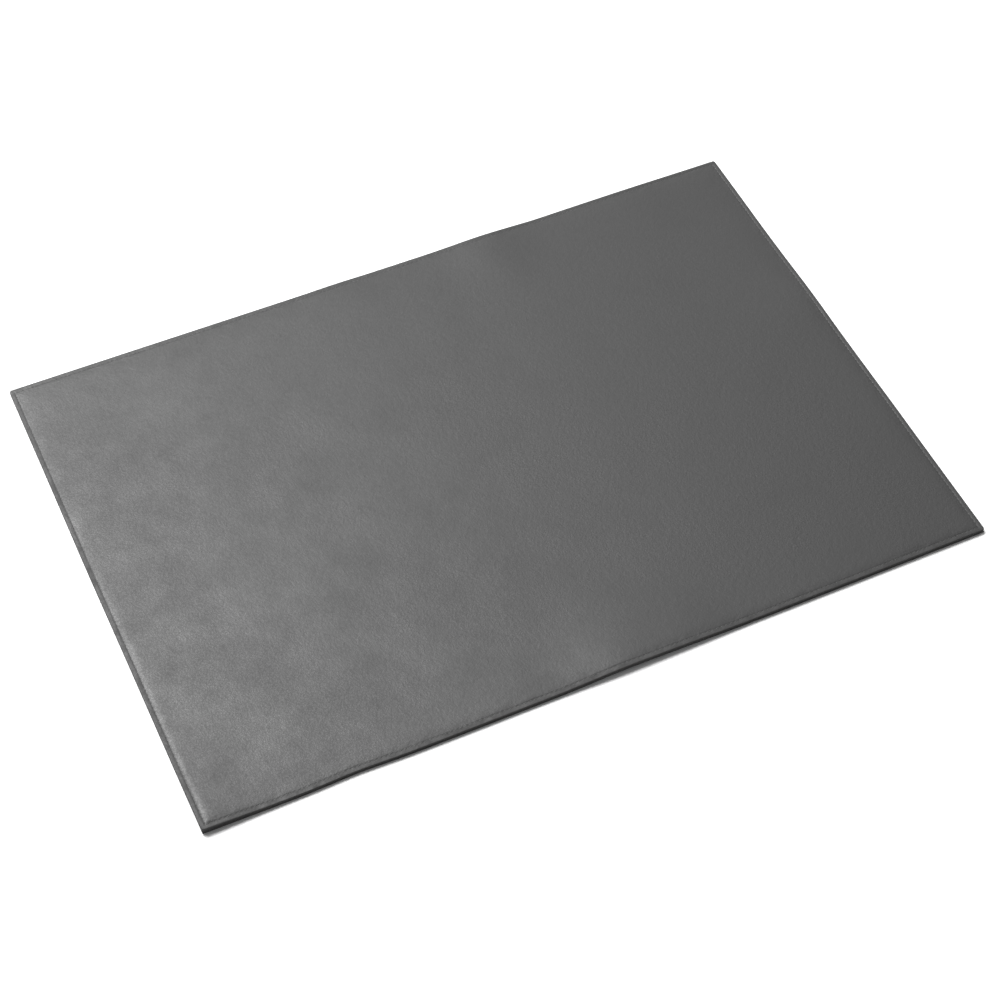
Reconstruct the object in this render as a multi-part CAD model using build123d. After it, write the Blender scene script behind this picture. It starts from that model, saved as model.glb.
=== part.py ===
from build123d import *
import os

# Leather desk mat: a padded leather top turned over a fibre board, closed below by a
# non-slip backing, with one lockstitched seam all the way round.
# Millimetres. +X along the long side, +Y away from the person sitting at the desk, +Z up.
# The origin is the middle of the mat, on the desk. An inset is a distance inwards from
# the mat's finished edge, the same on all four sides.

# Driving sizes
MAT_WIDTH = 650.0
MAT_DEPTH = 450.0
CORNER_RADIUS = 2.0
SEAM_INSET = 3.8

# Thickness of each layer
BACKING_THICKNESS = 0.8
FLANGE_THICKNESS = 0.6  # the leather is skived where it turns under
BOARD_THICKNESS = 1.7
TAPE_THICKNESS = 0.4
FOAM_THICKNESS = 0.6
LEATHER_THICKNESS = 0.8

# Leather cover
FOLD_RADIUS_TOP = 0.5
FOLD_RADIUS_BELOW = 0.5
FLANGE_WIDTH = 18.0
MITRE_GAP = 0.4
MITRE_START_INSET = 2.4
MITRE_END_INSET = 19.0  # just past the flange's inner edge
HEM_TOP_THICKNESS = 0.7
FIELD_FOOT_INSET = 4.4
FIELD_TOP_INSET = 6.6
BOARD_POCKET_INSET = 0.8

# Core pieces
BOARD_INSET = 1.0
TAPE_INSET = 1.0
TAPE_WIDTH = 4.2
FOAM_FOOT_INSET = 5.4
FOAM_TOP_INSET = 6.4
INFILL_CLEARANCE = 0.5

# Backing
BACKING_INSET = 0.2
BACKING_CORNER_RADIUS = 1.8
BACKING_EDGE_RADIUS = 0.2

# Thread, and the grooves that the stitches pull into the leather and the backing
THREAD_WIDTH = 0.5
THREAD_HEIGHT = 0.45
GROOVE_WIDTH = 1.0
NEEDLE_GROOVE_DEPTH = 0.3
BOBBIN_GROOVE_DEPTH = 0.5

# Levels of the layers, from the desk up
FLANGE_BOTTOM = BACKING_THICKNESS
BOARD_BOTTOM = FLANGE_BOTTOM + FLANGE_THICKNESS
BOARD_TOP = BOARD_BOTTOM + BOARD_THICKNESS
TAPE_TOP = BOARD_TOP + TAPE_THICKNESS
HEM_TOP = TAPE_TOP + HEM_TOP_THICKNESS
FOAM_TOP = BOARD_TOP + FOAM_THICKNESS
MAT_TOP = FOAM_TOP + LEATHER_THICKNESS


def rectangle(inset, corner_radius=0.0):
    """Rectangle parallel to the mat's edge, with rounded corners if a radius is given."""
    width = MAT_WIDTH - 2 * inset
    depth = MAT_DEPTH - 2 * inset
    if corner_radius > 0:
        return RectangleRounded(width, depth, corner_radius)
    return Rectangle(width, depth)


def sheet(inset, bottom, top, corner_radius=0.0):
    """Flat rectangular sheet between two levels."""
    return Pos(0, 0, bottom) * extrude(rectangle(inset, corner_radius), top - bottom)


def sloped_sheet(foot_inset, foot, top_inset, top):
    """Flat rectangular sheet whose four edges slope inwards as they rise."""
    return loft(
        [Pos(0, 0, foot) * rectangle(foot_inset), Pos(0, 0, top) * rectangle(top_inset)],
        ruled=True,
    )


def seam_ring(width, bottom, top):
    """Rectangular ring of the given width that follows the seam."""
    outer = sheet(SEAM_INSET - width / 2, bottom, top)
    inner = sheet(SEAM_INSET + width / 2, bottom, top)
    return outer - inner


def mitre_slits():
    """Four diagonal slits that part the turned flanges at the corners."""
    middle = (MITRE_START_INSET + MITRE_END_INSET) / 2
    length = (MITRE_END_INSET - MITRE_START_INSET) * 2**0.5
    slits = []
    for side_x in (-1, 1):
        for side_y in (-1, 1):
            place = Pos(
                side_x * (MAT_WIDTH / 2 - middle),
                side_y * (MAT_DEPTH / 2 - middle),
                FLANGE_BOTTOM + FLANGE_THICKNESS / 2,
            )
            turn = Rot(0, 0, 45 * side_x * side_y)
            slits.append(place * turn * Box(length, MITRE_GAP, FLANGE_THICKNESS))
    return slits


def make_leather_cover():
    """Leather top, turned down round the board's edge and under it as four flanges."""
    wrap = sheet(0, FLANGE_BOTTOM, HEM_TOP, CORNER_RADIUS)
    top_edges = wrap.faces().sort_by(Axis.Z)[-1].edges()
    wrap = fillet(top_edges, FOLD_RADIUS_TOP)
    bottom_edges = wrap.faces().sort_by(Axis.Z)[0].edges()
    wrap = fillet(bottom_edges, FOLD_RADIUS_BELOW)
    cover = wrap + sloped_sheet(FIELD_FOOT_INSET, HEM_TOP, FIELD_TOP_INSET, MAT_TOP)
    cover -= sheet(BOARD_POCKET_INSET, BOARD_BOTTOM, TAPE_TOP)
    cover -= sloped_sheet(FOAM_FOOT_INSET, BOARD_TOP, FOAM_TOP_INSET, FOAM_TOP)
    cover -= sheet(FLANGE_WIDTH, FLANGE_BOTTOM, BOARD_BOTTOM)
    cover -= seam_ring(GROOVE_WIDTH, HEM_TOP - NEEDLE_GROOVE_DEPTH, HEM_TOP)
    for slit in mitre_slits():
        cover -= slit
    return cover


def make_core_board():
    """Fibre board that keeps the mat flat."""
    return sheet(BOARD_INSET, BOARD_BOTTOM, BOARD_TOP)


def make_foam_interlining():
    """Thin foam that ends inside the seam and lifts the writing field above the hem."""
    return sloped_sheet(FOAM_FOOT_INSET, BOARD_TOP, FOAM_TOP_INSET, FOAM_TOP)


def make_edge_tapes():
    """Four strips of reinforcing tape under the hem, butted together at the corners."""
    long_length = MAT_WIDTH - 2 * TAPE_INSET
    short_length = MAT_DEPTH - 2 * TAPE_INSET - 2 * TAPE_WIDTH
    side_x = MAT_WIDTH / 2 - TAPE_INSET - TAPE_WIDTH / 2
    side_y = MAT_DEPTH / 2 - TAPE_INSET - TAPE_WIDTH / 2
    level = BOARD_TOP + TAPE_THICKNESS / 2
    long_strip = Box(long_length, TAPE_WIDTH, TAPE_THICKNESS)
    short_strip = Box(TAPE_WIDTH, short_length, TAPE_THICKNESS)
    return {
        "edge_tape_front": Pos(0, -side_y, level) * long_strip,
        "edge_tape_back": Pos(0, side_y, level) * long_strip,
        "edge_tape_left": Pos(-side_x, 0, level) * short_strip,
        "edge_tape_right": Pos(side_x, 0, level) * short_strip,
    }


def make_infill_sheet():
    """Thin sheet that fills the space between the turned flanges, so the backing lies level."""
    return sheet(FLANGE_WIDTH + INFILL_CLEARANCE, FLANGE_BOTTOM, BOARD_BOTTOM)


def make_backing_sheet():
    """Non-slip backing that hides the flanges and rests on the desk."""
    backing = sheet(BACKING_INSET, 0, BACKING_THICKNESS, BACKING_CORNER_RADIUS)
    resting_edges = backing.faces().sort_by(Axis.Z)[0].edges()
    backing = fillet(resting_edges, BACKING_EDGE_RADIUS)
    return backing - seam_ring(GROOVE_WIDTH, 0, BOBBIN_GROOVE_DEPTH)


def make_needle_thread():
    """Upper thread of the lockstitch, drawn as one plain run in its groove."""
    bottom = HEM_TOP - NEEDLE_GROOVE_DEPTH
    return seam_ring(THREAD_WIDTH, bottom, bottom + THREAD_HEIGHT)


def make_bobbin_thread():
    """Lower thread of the lockstitch, drawn as one plain run sunk into the backing."""
    return seam_ring(THREAD_WIDTH, BOBBIN_GROOVE_DEPTH - THREAD_HEIGHT, BOBBIN_GROOVE_DEPTH)


nodes = {
    "leather_cover": make_leather_cover(),
    "foam_interlining": make_foam_interlining(),
    "core_board": make_core_board(),
    "infill_sheet": make_infill_sheet(),
    "backing_sheet": make_backing_sheet(),
    "needle_thread": make_needle_thread(),
    "bobbin_thread": make_bobbin_thread(),
}
nodes.update(make_edge_tapes())

os.makedirs("parts", exist_ok=True)
for name, part in nodes.items():
    export_step(part, f"parts/{name}.step")
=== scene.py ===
"""Leather desk mat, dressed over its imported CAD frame.

The mat is a stack: a black leather top turned over a fibre board, thin foam that ends
inside the seam, reinforcing tape under the hem, an infill sheet between the turned
flanges, and a suede-effect backing. One lockstitched seam goes all the way round.
Every piece lies on the desk as a used mat does, with its edges a little off the flat.
Lengths are in metres unless a name ends in _mm.
"""

import logging
import math
from collections.abc import Callable, Iterator
from contextlib import contextmanager
from dataclasses import dataclass, field
from enum import Enum

import bmesh
import bpy
from mathutils import Matrix, Vector, noise


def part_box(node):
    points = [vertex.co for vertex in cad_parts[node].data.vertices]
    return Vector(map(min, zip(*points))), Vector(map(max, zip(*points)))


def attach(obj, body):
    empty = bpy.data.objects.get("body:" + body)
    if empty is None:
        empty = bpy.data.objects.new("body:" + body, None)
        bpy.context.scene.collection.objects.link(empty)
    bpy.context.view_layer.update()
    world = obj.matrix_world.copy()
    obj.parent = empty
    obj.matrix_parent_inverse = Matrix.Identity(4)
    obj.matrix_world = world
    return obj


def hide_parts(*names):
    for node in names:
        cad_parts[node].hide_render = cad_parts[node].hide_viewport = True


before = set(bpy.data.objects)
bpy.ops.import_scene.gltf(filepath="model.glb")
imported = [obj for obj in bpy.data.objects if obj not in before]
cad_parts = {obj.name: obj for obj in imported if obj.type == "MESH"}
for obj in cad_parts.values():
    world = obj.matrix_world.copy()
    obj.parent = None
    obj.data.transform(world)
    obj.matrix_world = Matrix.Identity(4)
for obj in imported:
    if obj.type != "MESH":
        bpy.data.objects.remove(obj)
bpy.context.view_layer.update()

MM = 0.001
THREAD_WIDTH = 0.5 * MM
NEEDLE_GROOVE = 0.3 * MM
NEEDLE_PROUD = 0.06 * MM
BOBBIN_LEVEL = 0.04 * MM
BLEND_START = 2 * MM
NEAR = 0.01 * MM

# Most of what a shared effect gives lies between these two values.
BODY = (0.3, 0.7)

# A node's socket, and what can be fed into one.
Socket = bpy.types.NodeSocket
Feed = Socket | float | tuple[float, ...]

log = logging.getLogger("desk_mat")


class Slot(Enum):
    """Material slots of the record."""

    LEATHER = "leather"
    THREAD = "thread"
    BACKING = "backing"
    BOARD = "board"
    INFILL = "infill"
    FOAM = "foam"
    TAPE = "tape"


class Side(Enum):
    """The four sides of the mat, as the direction each one faces."""

    FRONT = (0, -1)
    BACK = (0, 1)
    LEFT = (-1, 0)
    RIGHT = (1, 0)

    @property
    def runs_along_x(self) -> bool:
        """True for the two long sides."""
        return self.value[0] == 0


# ---------------------------------------------------------------- work at the bench


def select_only(piece: bpy.types.Object) -> None:
    """Selects one object, makes it active and deselects all others.

    Args:
        piece: The object.
    """
    bpy.ops.object.select_all(action="DESELECT")
    piece.select_set(True)
    bpy.context.view_layer.objects.active = piece


@contextmanager
def editing(piece: bpy.types.Object) -> Iterator[None]:
    """Edit mode on one piece alone, with nothing selected.

    Args:
        piece: The piece to shape.

    Yields:
        Nothing; the piece is in edit mode meanwhile.
    """
    select_only(piece)
    bpy.ops.object.mode_set(mode="EDIT")
    bpy.ops.mesh.select_mode(type="EDGE")
    bpy.ops.mesh.select_all(action="DESELECT")
    try:
        yield
    finally:
        bpy.ops.object.mode_set(mode="OBJECT")


def name_piece(name: str) -> bpy.types.Object:
    """Names the object that was just added.

    Args:
        name: The piece's name.

    Returns:
        The object.
    """
    piece = bpy.context.active_object
    piece.name = name
    piece.data.name = name
    return piece


def lay_grid(
    name: str, half: tuple[float, float], level: float, cells: tuple[int, int]
) -> bpy.types.Object:
    """Lays a flat rectangular grid centred on the mat.

    Args:
        name: The piece's name.
        half: Half its width and half its depth.
        level: Its height.
        cells: Number of cells along X and along Y.

    Returns:
        The new piece.
    """
    bpy.ops.object.select_all(action="DESELECT")
    bpy.ops.mesh.primitive_grid_add(
        x_subdivisions=cells[0], y_subdivisions=cells[1], size=2.0
    )
    piece = name_piece(name)
    with editing(piece):
        bpy.ops.mesh.select_all(action="SELECT")
        bpy.ops.transform.resize(value=(half[0], half[1], 1), center_override=(0, 0, 0))
        bpy.ops.transform.translate(value=(0, 0, level))
    return piece


def select_rim() -> None:
    """Selects the open rim of the piece being edited."""
    bpy.ops.mesh.select_all(action="DESELECT")
    bpy.ops.mesh.select_non_manifold(
        extend=False,
        use_wire=False,
        use_boundary=True,
        use_multi_face=False,
        use_non_contiguous=False,
        use_verts=False,
    )


def select_edges(piece: bpy.types.Object, wanted: Callable[[bmesh.types.BMEdge], bool]) -> None:
    """Selects the edges of the piece being edited that pass a test.

    Args:
        piece: The piece being edited.
        wanted: The test.
    """
    bm = bmesh.from_edit_mesh(piece.data)
    for edge in bm.edges:
        edge.select_set(wanted(edge))
    bm.select_flush_mode()
    bmesh.update_edit_mesh(piece.data)


def draw_rim(start: tuple[float, float], end: tuple[float, float], rise: float) -> None:
    """Extrudes the selected rectangular rim to another rectangle and level.

    Args:
        start: Half width and half depth of the rim now.
        end: Half width and half depth of the rim to make.
        rise: How far the new rim is above the old one.
    """
    bpy.ops.mesh.extrude_region_move()
    bpy.ops.transform.resize(
        value=(end[0] / start[0], end[1] / start[1], 1), center_override=(0, 0, 0)
    )
    bpy.ops.transform.translate(value=(0, 0, rise))


def divide_rim(parts: int) -> None:
    """Divides each edge of the open rim into equal parts.

    Args:
        parts: How many parts.
    """
    select_rim()
    bpy.ops.mesh.subdivide(number_cuts=parts - 1, ngon=True)
    select_rim()


def thicken(rise: float, scale: tuple[float, float, float], level: float = 0.0) -> None:
    """Draws the whole sheet being edited up into a closed slab, its faces turned outwards.

    Args:
        rise: How far the upper face moves up.
        scale: How the upper face is then scaled, about the mat's middle.
        level: Height that it is scaled about.
    """
    bpy.ops.mesh.select_mode(type="FACE")
    bpy.ops.mesh.select_all(action="SELECT")
    bpy.ops.mesh.extrude_region_move()
    bpy.ops.transform.translate(value=(0, 0, rise))
    bpy.ops.transform.resize(value=scale, center_override=(0, 0, level))
    bpy.ops.mesh.select_all(action="SELECT")
    bpy.ops.mesh.normals_make_consistent(inside=False)


def move_points(piece: bpy.types.Object, move: Callable[[Vector], Vector]) -> None:
    """Moves every point of a piece.

    Args:
        piece: The piece.
        move: Gives a point's new place from its old one.
    """
    for vertex in piece.data.vertices:
        vertex.co = move(vertex.co)
    piece.data.update()


def apply_modifier(piece: bpy.types.Object, kind: str, **settings: object) -> None:
    """Adds a modifier and applies it.

    Args:
        piece: The piece.
        kind: Blender's name for the modifier's type.
        **settings: Its settings.
    """
    select_only(piece)
    bpy.ops.object.modifier_add(type=kind)
    modifier = piece.modifiers[-1]
    for setting, value in settings.items():
        setattr(modifier, setting, value)
    bpy.ops.object.modifier_apply(modifier=modifier.name)


def shade(piece: bpy.types.Object, angle: float = 50.0) -> None:
    """Shades a piece smooth, except across edges sharper than an angle in degrees."""
    select_only(piece)
    bpy.ops.object.shade_smooth_by_angle(angle=math.radians(angle))


def hand_over(
    piece: bpy.types.Object, slot: Slot, material: bpy.types.Material, *nodes: str
) -> None:
    """Gives a finished piece its material, its body and the CAD nodes it stands for.

    Args:
        piece: The finished piece.
        slot: Its material slot in the record; not used.
        material: Its material.
        *nodes: The CAD nodes that it replaces.
    """
    piece.data.materials.clear()
    piece.data.materials.append(material)
    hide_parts(*nodes)
    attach(piece, "root")
    log.info("%s: %d faces", piece.name, len(piece.data.polygons))


def bell(offset: float, spread: float) -> float:
    """Height of a bell curve, 1 at its middle."""
    return math.exp(-0.5 * (offset / spread) ** 2)


def smooth_step(value: float) -> float:
    """Rises smoothly from 0 to 1 as value does."""
    t = min(max(value, 0.0), 1.0)
    return t * t * (3 - 2 * t)


@dataclass(frozen=True)
class Unevenness:
    """Smooth noise over the mat: its strength, the size of its lumps and its pattern."""

    strength: float
    size: float
    pattern: float

    def at(self, x: float, y: float) -> float:
        """The noise at a place, from about -1 to 1 times its strength."""
        return self.strength * noise.noise(Vector((x / self.size, y / self.size, self.pattern)))


def arc(
    centre: tuple[float, float], radii: tuple[float, float], start: float, stop: float, steps: int
) -> list[tuple[float, float]]:
    """Points along an elliptical arc in a cross-section, its first point left out.

    Args:
        centre: The arc's centre, as inset and level.
        radii: Its radius along the inset and along the level.
        start: Start angle in degrees, 0 along growing inset and 90 upwards.
        stop: End angle in degrees.
        steps: Number of points.

    Returns:
        The points, as inset and level.
    """
    points = []
    for step in range(1, steps + 1):
        angle = math.radians(start + (stop - start) * step / steps)
        points.append(
            (centre[0] + radii[0] * math.cos(angle), centre[1] + radii[1] * math.sin(angle))
        )
    return points


# ---------------------------------------------------------------- sizes and lie


@dataclass(frozen=True)
class MatPlan:
    """Plan and levels of the mat, read from the frame."""

    half_width: float
    half_depth: float
    seam_inset: float
    backing_inset: float
    foam_inset: float
    flange_bottom: float
    board_bottom: float
    tape_top: float
    hem_top: float
    top: float
    stitches: tuple[int, int] = (160, 110)
    stitches_per_cell: int = 2

    @classmethod
    def from_frame(cls) -> "MatPlan":
        """Reads the plan from the CAD nodes.

        Returns:
            The plan.
        """
        leather_low, leather_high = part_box("leather_cover")
        thread_low, thread_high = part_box("needle_thread")
        half_width = leather_high.x
        return cls(
            half_width=half_width,
            half_depth=leather_high.y,
            seam_inset=half_width - thread_high.x + THREAD_WIDTH / 2,
            backing_inset=half_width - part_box("backing_sheet")[1].x,
            foam_inset=half_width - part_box("foam_interlining")[1].x,
            flange_bottom=leather_low.z,
            board_bottom=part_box("core_board")[0].z,
            tape_top=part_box("edge_tape_front")[1].z,
            hem_top=thread_low.z + NEEDLE_GROOVE,
            top=leather_high.z,
        )

    @property
    def cells(self) -> tuple[int, int]:
        """Cells along the long and the short sides of a grid in step with the stitches."""
        return tuple(count // self.stitches_per_cell for count in self.stitches)

    def half(self, inset: float) -> tuple[float, float]:
        """Half width and half depth of the rectangle at an inset."""
        return self.half_width - inset, self.half_depth - inset

    def inset(self, x: float, y: float) -> float:
        """Distance of a place inwards from the nearest finished edge."""
        return min(self.half_width - abs(x), self.half_depth - abs(y))

    def by_side(self, values: dict[Side, float], x: float, y: float) -> float:
        """Blends a value given for each side, the nearest side counting most.

        Args:
            values: The value at each side.
            x: Place along X.
            y: Place along Y.

        Returns:
            The blended value.
        """
        weights = {}
        for side in Side:
            across = abs(x - side.value[0] * self.half_width)
            if side.runs_along_x:
                across = abs(y - side.value[1] * self.half_depth)
            weights[side] = 1 / (across + BLEND_START) ** 2
        return sum(values[side] * weights[side] for side in Side) / sum(weights.values())


@dataclass(frozen=True)
class EdgeLift:
    """A gentle displacement of one edge: a rise off the desk, or a dent in the outline."""

    side: Side
    along_mm: float
    height_mm: float
    length_mm: float
    reach_mm: float


@dataclass(frozen=True)
class RelaxedLie:
    """How the whole stack lies on the desk: flat, with a few edges slightly lifted."""

    plan: MatPlan
    lifts: tuple[EdgeLift, ...] = (
        EdgeLift(Side.FRONT, 8, 2.1, 24, 36),
        EdgeLift(Side.FRONT, 58, 1.5, 28, 36),
        EdgeLift(Side.BACK, 97, 1.4, 22, 34),
        EdgeLift(Side.BACK, -38, 0.5, 16, 26),
        EdgeLift(Side.BACK, 240, 0.4, 30, 30),
        EdgeLift(Side.RIGHT, 50, 1.0, 24, 30),
        EdgeLift(Side.RIGHT, -85, 0.25, 20, 24),
    )
    dents: tuple[EdgeLift, ...] = (
        EdgeLift(Side.FRONT, -205, 1.2, 20, 12),
        EdgeLift(Side.BACK, 150, 0.35, 14, 10),
        EdgeLift(Side.LEFT, 30, -0.3, 40, 12),
        EdgeLift(Side.RIGHT, 130, 0.3, 30, 12),
    )
    corner_lift_mm: float = 0.9
    corner_reach_mm: float = 32.0
    corner_bulk: float = 0.42
    corner_bulk_reach_mm: float = 26.0
    long_side_bow: float = 0.35 * MM
    short_side_bow: float = 0.2 * MM
    swell_run: float = 22 * MM
    broad_swell_mm: Unevenness = Unevenness(0.16, 120 * MM, 1.7)
    small_swell_mm: Unevenness = Unevenness(0.08, 38 * MM, 5.2)

    def height(self, x: float, y: float) -> float:
        """Height of the mat's underside above the desk.

        Args:
            x: Place along X.
            y: Place along Y.

        Returns:
            The height.
        """
        total = sum(self._share(lift, x, y) for lift in self.lifts)
        total += self.corner_lift_mm * bell(self._from_corner(x, y) / MM, self.corner_reach_mm)
        return total * MM

    def bulk(self, x: float, y: float) -> float:
        """How many times thicker the stack is, where the mitred flanges pack out the corner."""
        packed = bell(self._from_corner(x, y) / MM, self.corner_bulk_reach_mm)
        return 1 + self.corner_bulk * packed

    def _from_corner(self, x: float, y: float) -> float:
        """Distance of a place from the front left corner."""
        return math.hypot(x + self.plan.half_width, y + self.plan.half_depth)

    def _share(self, lift: EdgeLift, x: float, y: float) -> float:
        """What one displaced edge adds at a place.

        Args:
            lift: The edge's lift or dent.
            x: Place along X.
            y: Place along Y.

        Returns:
            Its share there, in millimetres.
        """
        side_x, side_y = lift.side.value
        along, inward = y, self.plan.half_width - side_x * x
        if lift.side.runs_along_x:
            along, inward = x, self.plan.half_depth - side_y * y
        spread = bell(along / MM - lift.along_mm, lift.length_mm)
        return lift.height_mm * spread * bell(inward / MM, lift.reach_mm)

    def swell(self, x: float, y: float) -> float:
        """Soft unevenness of the padded field.

        Args:
            x: Place along X.
            y: Place along Y.

        Returns:
            How far the field is above its even level there.
        """
        inside = self.plan.inset(x, y) - self.plan.seam_inset
        fade = smooth_step(inside / self.swell_run)
        return fade * (self.broad_swell_mm.at(x, y) + self.small_swell_mm.at(x, y)) * MM

    def settle(self, piece: bpy.types.Object) -> None:
        """Lays a flat piece as the mat lies, its long and short sides bowed a little outwards.

        Args:
            piece: The piece.
        """
        half_x, half_y = self.plan.half(0.0)

        def lay(p: Vector) -> Vector:
            """Finds where one point lies.

            Args:
                p: The point on the flat piece.

            Returns:
                Its place on the mat as it lies.
            """
            wider = 1 + self.short_side_bow / half_x * (1 - (p.y / half_y) ** 2)
            deeper = 1 + self.long_side_bow / half_y * (1 - (p.x / half_x) ** 2)
            level = p.z * self.bulk(p.x, p.y) + self.height(p.x, p.y)
            moved = Vector((p.x * wider, p.y * deeper, level))
            for dent in self.dents:
                depth = self._share(dent, p.x, p.y) * MM
                moved.x -= dent.side.value[0] * depth
                moved.y -= dent.side.value[1] * depth
            return moved

        move_points(piece, lay)


# ---------------------------------------------------------------- the pieces


@dataclass
class LeatherCover:
    """The leather top with its padded field, sunk seam, hem, turned edge and flanges."""

    plan: MatPlan
    lie: RelaxedLie
    thickness: float = 0.8 * MM
    hem_thickness: float = 0.7 * MM
    flange_thickness: float = 0.6 * MM
    seam_thickness: float = 0.4 * MM
    fold_radius: float = 0.45 * MM
    fold_radius_below: float = 0.5 * MM
    corner_radius: float = 2.0 * MM
    flange_width: float = 18.0 * MM
    mitre_gap: float = 0.4 * MM
    field_inset: float = 18.0 * MM
    coarse_insets: tuple[float, ...] = (13.0 * MM, 10.4 * MM, 8.6 * MM, 7.4 * MM)
    fine_steps_mm: tuple[float, ...] = (2.6, 1.9, 1.3, 0.85, 0.5, 0.22, 0.0)
    dip_shares: tuple[float, ...] = (0.12, 0.3, 0.55, 1.0)
    side_row: float = 1.6 * MM
    points_per_stitch: int = 3
    seam_depth: float = 0.1 * MM
    dip_width: float = 1.9 * MM
    padding_power: float = 2.2
    padding_waver: Unevenness = Unevenness(0.5 * MM, 9 * MM, 4.4)
    back_relaxed: float = 2.2
    crest_height: float = 0.12 * MM
    crest_inset: float = 9.5 * MM
    crest_width: float = 6.5 * MM
    crest_rise: float = 4 * MM
    crest_middle: float = 0.75
    crest_fade: float = 0.75
    rubbed_inset: float = 5.4 * MM
    rubbed_width: float = 1.5 * MM
    rubbed_from_left: float = 12 * MM
    rubbed_middle: float = 0.35
    rubbed_fade: float = 0.9
    rubbed_elsewhere: float = 0.1
    padding_run: dict[Side, float] = field(
        default_factory=lambda: {
            Side.FRONT: 16.4 * MM,
            Side.LEFT: 9.0 * MM,
            Side.BACK: 7.3 * MM,
            Side.RIGHT: 15.0 * MM,
        }
    )
    # Share of painted shade on each side's hem: most on the front, least on the right.
    hem_painted_shade: dict[Side, float] = field(
        default_factory=lambda: {
            Side.FRONT: 0.3,
            Side.LEFT: 0.2,
            Side.BACK: 0.12,
            Side.RIGHT: 0.04,
        }
    )
    # Patches, reach and fades of the painted shade on the turned edge and hem.
    painted_shade_patches: Unevenness = Unevenness(0.9, 5 * MM, 8.8)
    shade_below_arris: float = 0.2 * MM
    shade_fade: float = 0.4 * MM
    shade_reach: float = 3 * MM
    hem_shade_fade: float = 0.6 * MM
    pull_depth: float = 0.2 * MM
    pull_reach: float = 0.4 * MM
    inner_gathers_mm: Unevenness = Unevenness(0.14, 8 * MM, 9.4)
    inner_wave_mm: Unevenness = Unevenness(0.08, 26 * MM, 3.1)
    inner_inset: float = 6.2 * MM
    inner_width: float = 1.6 * MM
    hem_gathers_mm: Unevenness = Unevenness(0.08, 8 * MM, 9.4)
    hem_crinkle_mm: Unevenness = Unevenness(0.1, 3.2 * MM, 6.6)
    hem_inset: float = 1.8 * MM
    hem_width: float = 0.8 * MM
    seam_filling: Unevenness = Unevenness(1.0, 11 * MM, 2.3)
    seam_filled: float = 0.6
    seam_fill_width: float = 1.1 * MM
    corner_reach: float = 9 * MM
    corner_smooth_start: float = 0.1 * MM
    corner_smooth_inset: float = 12 * MM
    squeezed_width: float = 0.7 * MM

    def build(self) -> bpy.types.Object:
        """Makes the whole cover.

        Returns:
            The finished piece.
        """
        half = self.plan.half(self.field_inset)
        piece = lay_grid("leather_top", half, self.plan.top, self.plan.cells)
        with editing(piece):
            self._shape_rim()
            self._turn_flanges(piece)
        # Painted shade on the turned edge and hem.
        self._paint_edge_shade(piece)
        self._rub_ridge(piece)
        move_points(piece, self._dress_point)
        self._soften_corners(piece)
        self.lie.settle(piece)
        self._give_thickness(piece)
        shade(piece)
        return piece

    def edge_section(self) -> list[tuple[float, float]]:
        """Cross-section from the seam over the hem and round the edge to the flange.

        Returns:
            Its points, as inset and level.
        """
        plan = self.plan
        fold, below = self.fold_radius, self.fold_radius_below
        points = []
        for share in self.dip_shares:
            level = plan.hem_top - self.seam_depth * (1 - smooth_step(share))
            points.append((plan.seam_inset - share * self.dip_width, level))
        points += [((points[-1][0] + fold) / 2, plan.hem_top), (fold, plan.hem_top)]
        points += arc((fold, plan.hem_top - fold), (fold, fold), 90, 180, 4)
        points += [(0.0, plan.hem_top - self.side_row)]
        points += [(0.0, plan.flange_bottom + below)]
        points += arc((below, plan.flange_bottom + below), (below, below), 180, 270, 3)
        return points

    def flat_size(self) -> tuple[float, float, float]:
        """Size that the leather is cut to before it is turned.

        Returns:
            Its width, its depth and its area with the four corners cut off, in metres.
        """
        section = self.edge_section()
        girth = sum(math.dist(a, b) for a, b in zip(section[:-1], section[1:]))
        girth += self.flange_width - self.fold_radius_below
        half_x, half_y = self.plan.half(self.plan.seam_inset)
        width, depth = 2 * (half_x + girth), 2 * (half_y + girth)
        return width, depth, width * depth - 2 * self.flange_width**2

    def _shape_rim(self) -> None:
        """Draws the field's rim out to the seam, over the hem and round the edge."""
        seam = self.plan.seam_inset
        fine = [seam + step * MM for step in self.fine_steps_mm]
        now = (self.field_inset, self.plan.top)
        divide_rim(self.plan.stitches_per_cell)
        for inset in self.coarse_insets:
            draw_rim(self.plan.half(now[0]), self.plan.half(inset), 0.0)
            now = (inset, now[1])
        divide_rim(self.points_per_stitch)
        for point in [(inset, now[1]) for inset in fine] + self.edge_section():
            draw_rim(self.plan.half(now[0]), self.plan.half(point[0]), point[1] - now[1])
            now = point

    def _padding_fall(self, x: float, y: float, inset: float) -> float:
        """How far the padded field has fallen towards the seam at a place.

        Args:
            x: Place along X.
            y: Place along Y.
            inset: Its inset.

        Returns:
            The fall below the middle of the field.
        """
        run = self.plan.by_side(self.padding_run, x, y)
        run *= self.back_relaxed ** (y / self.plan.half_depth)
        waver = self.padding_waver.at(x, y)
        left = min(1.0, max(0.0, 1 - (inset + waver - self.plan.seam_inset) / run))
        full = self.plan.top - self.plan.hem_top + self.seam_depth
        return full * left**self.padding_power

    def _crest(self, x: float, y: float, inset: float) -> float:
        """How far the padding stands proud of the field, in a long crest beside the left seam.

        Args:
            x: Place along X.
            y: Place along Y.
            inset: Its inset.

        Returns:
            The height of the crest there.
        """
        across = x + self.plan.half_width - self.crest_inset
        rise = smooth_step((inset - self.plan.seam_inset) / self.crest_rise)
        front = smooth_step(self.crest_middle - self.crest_fade * y / self.plan.half_depth)
        return self.crest_height * front * rise * bell(across, self.crest_width)

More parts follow.
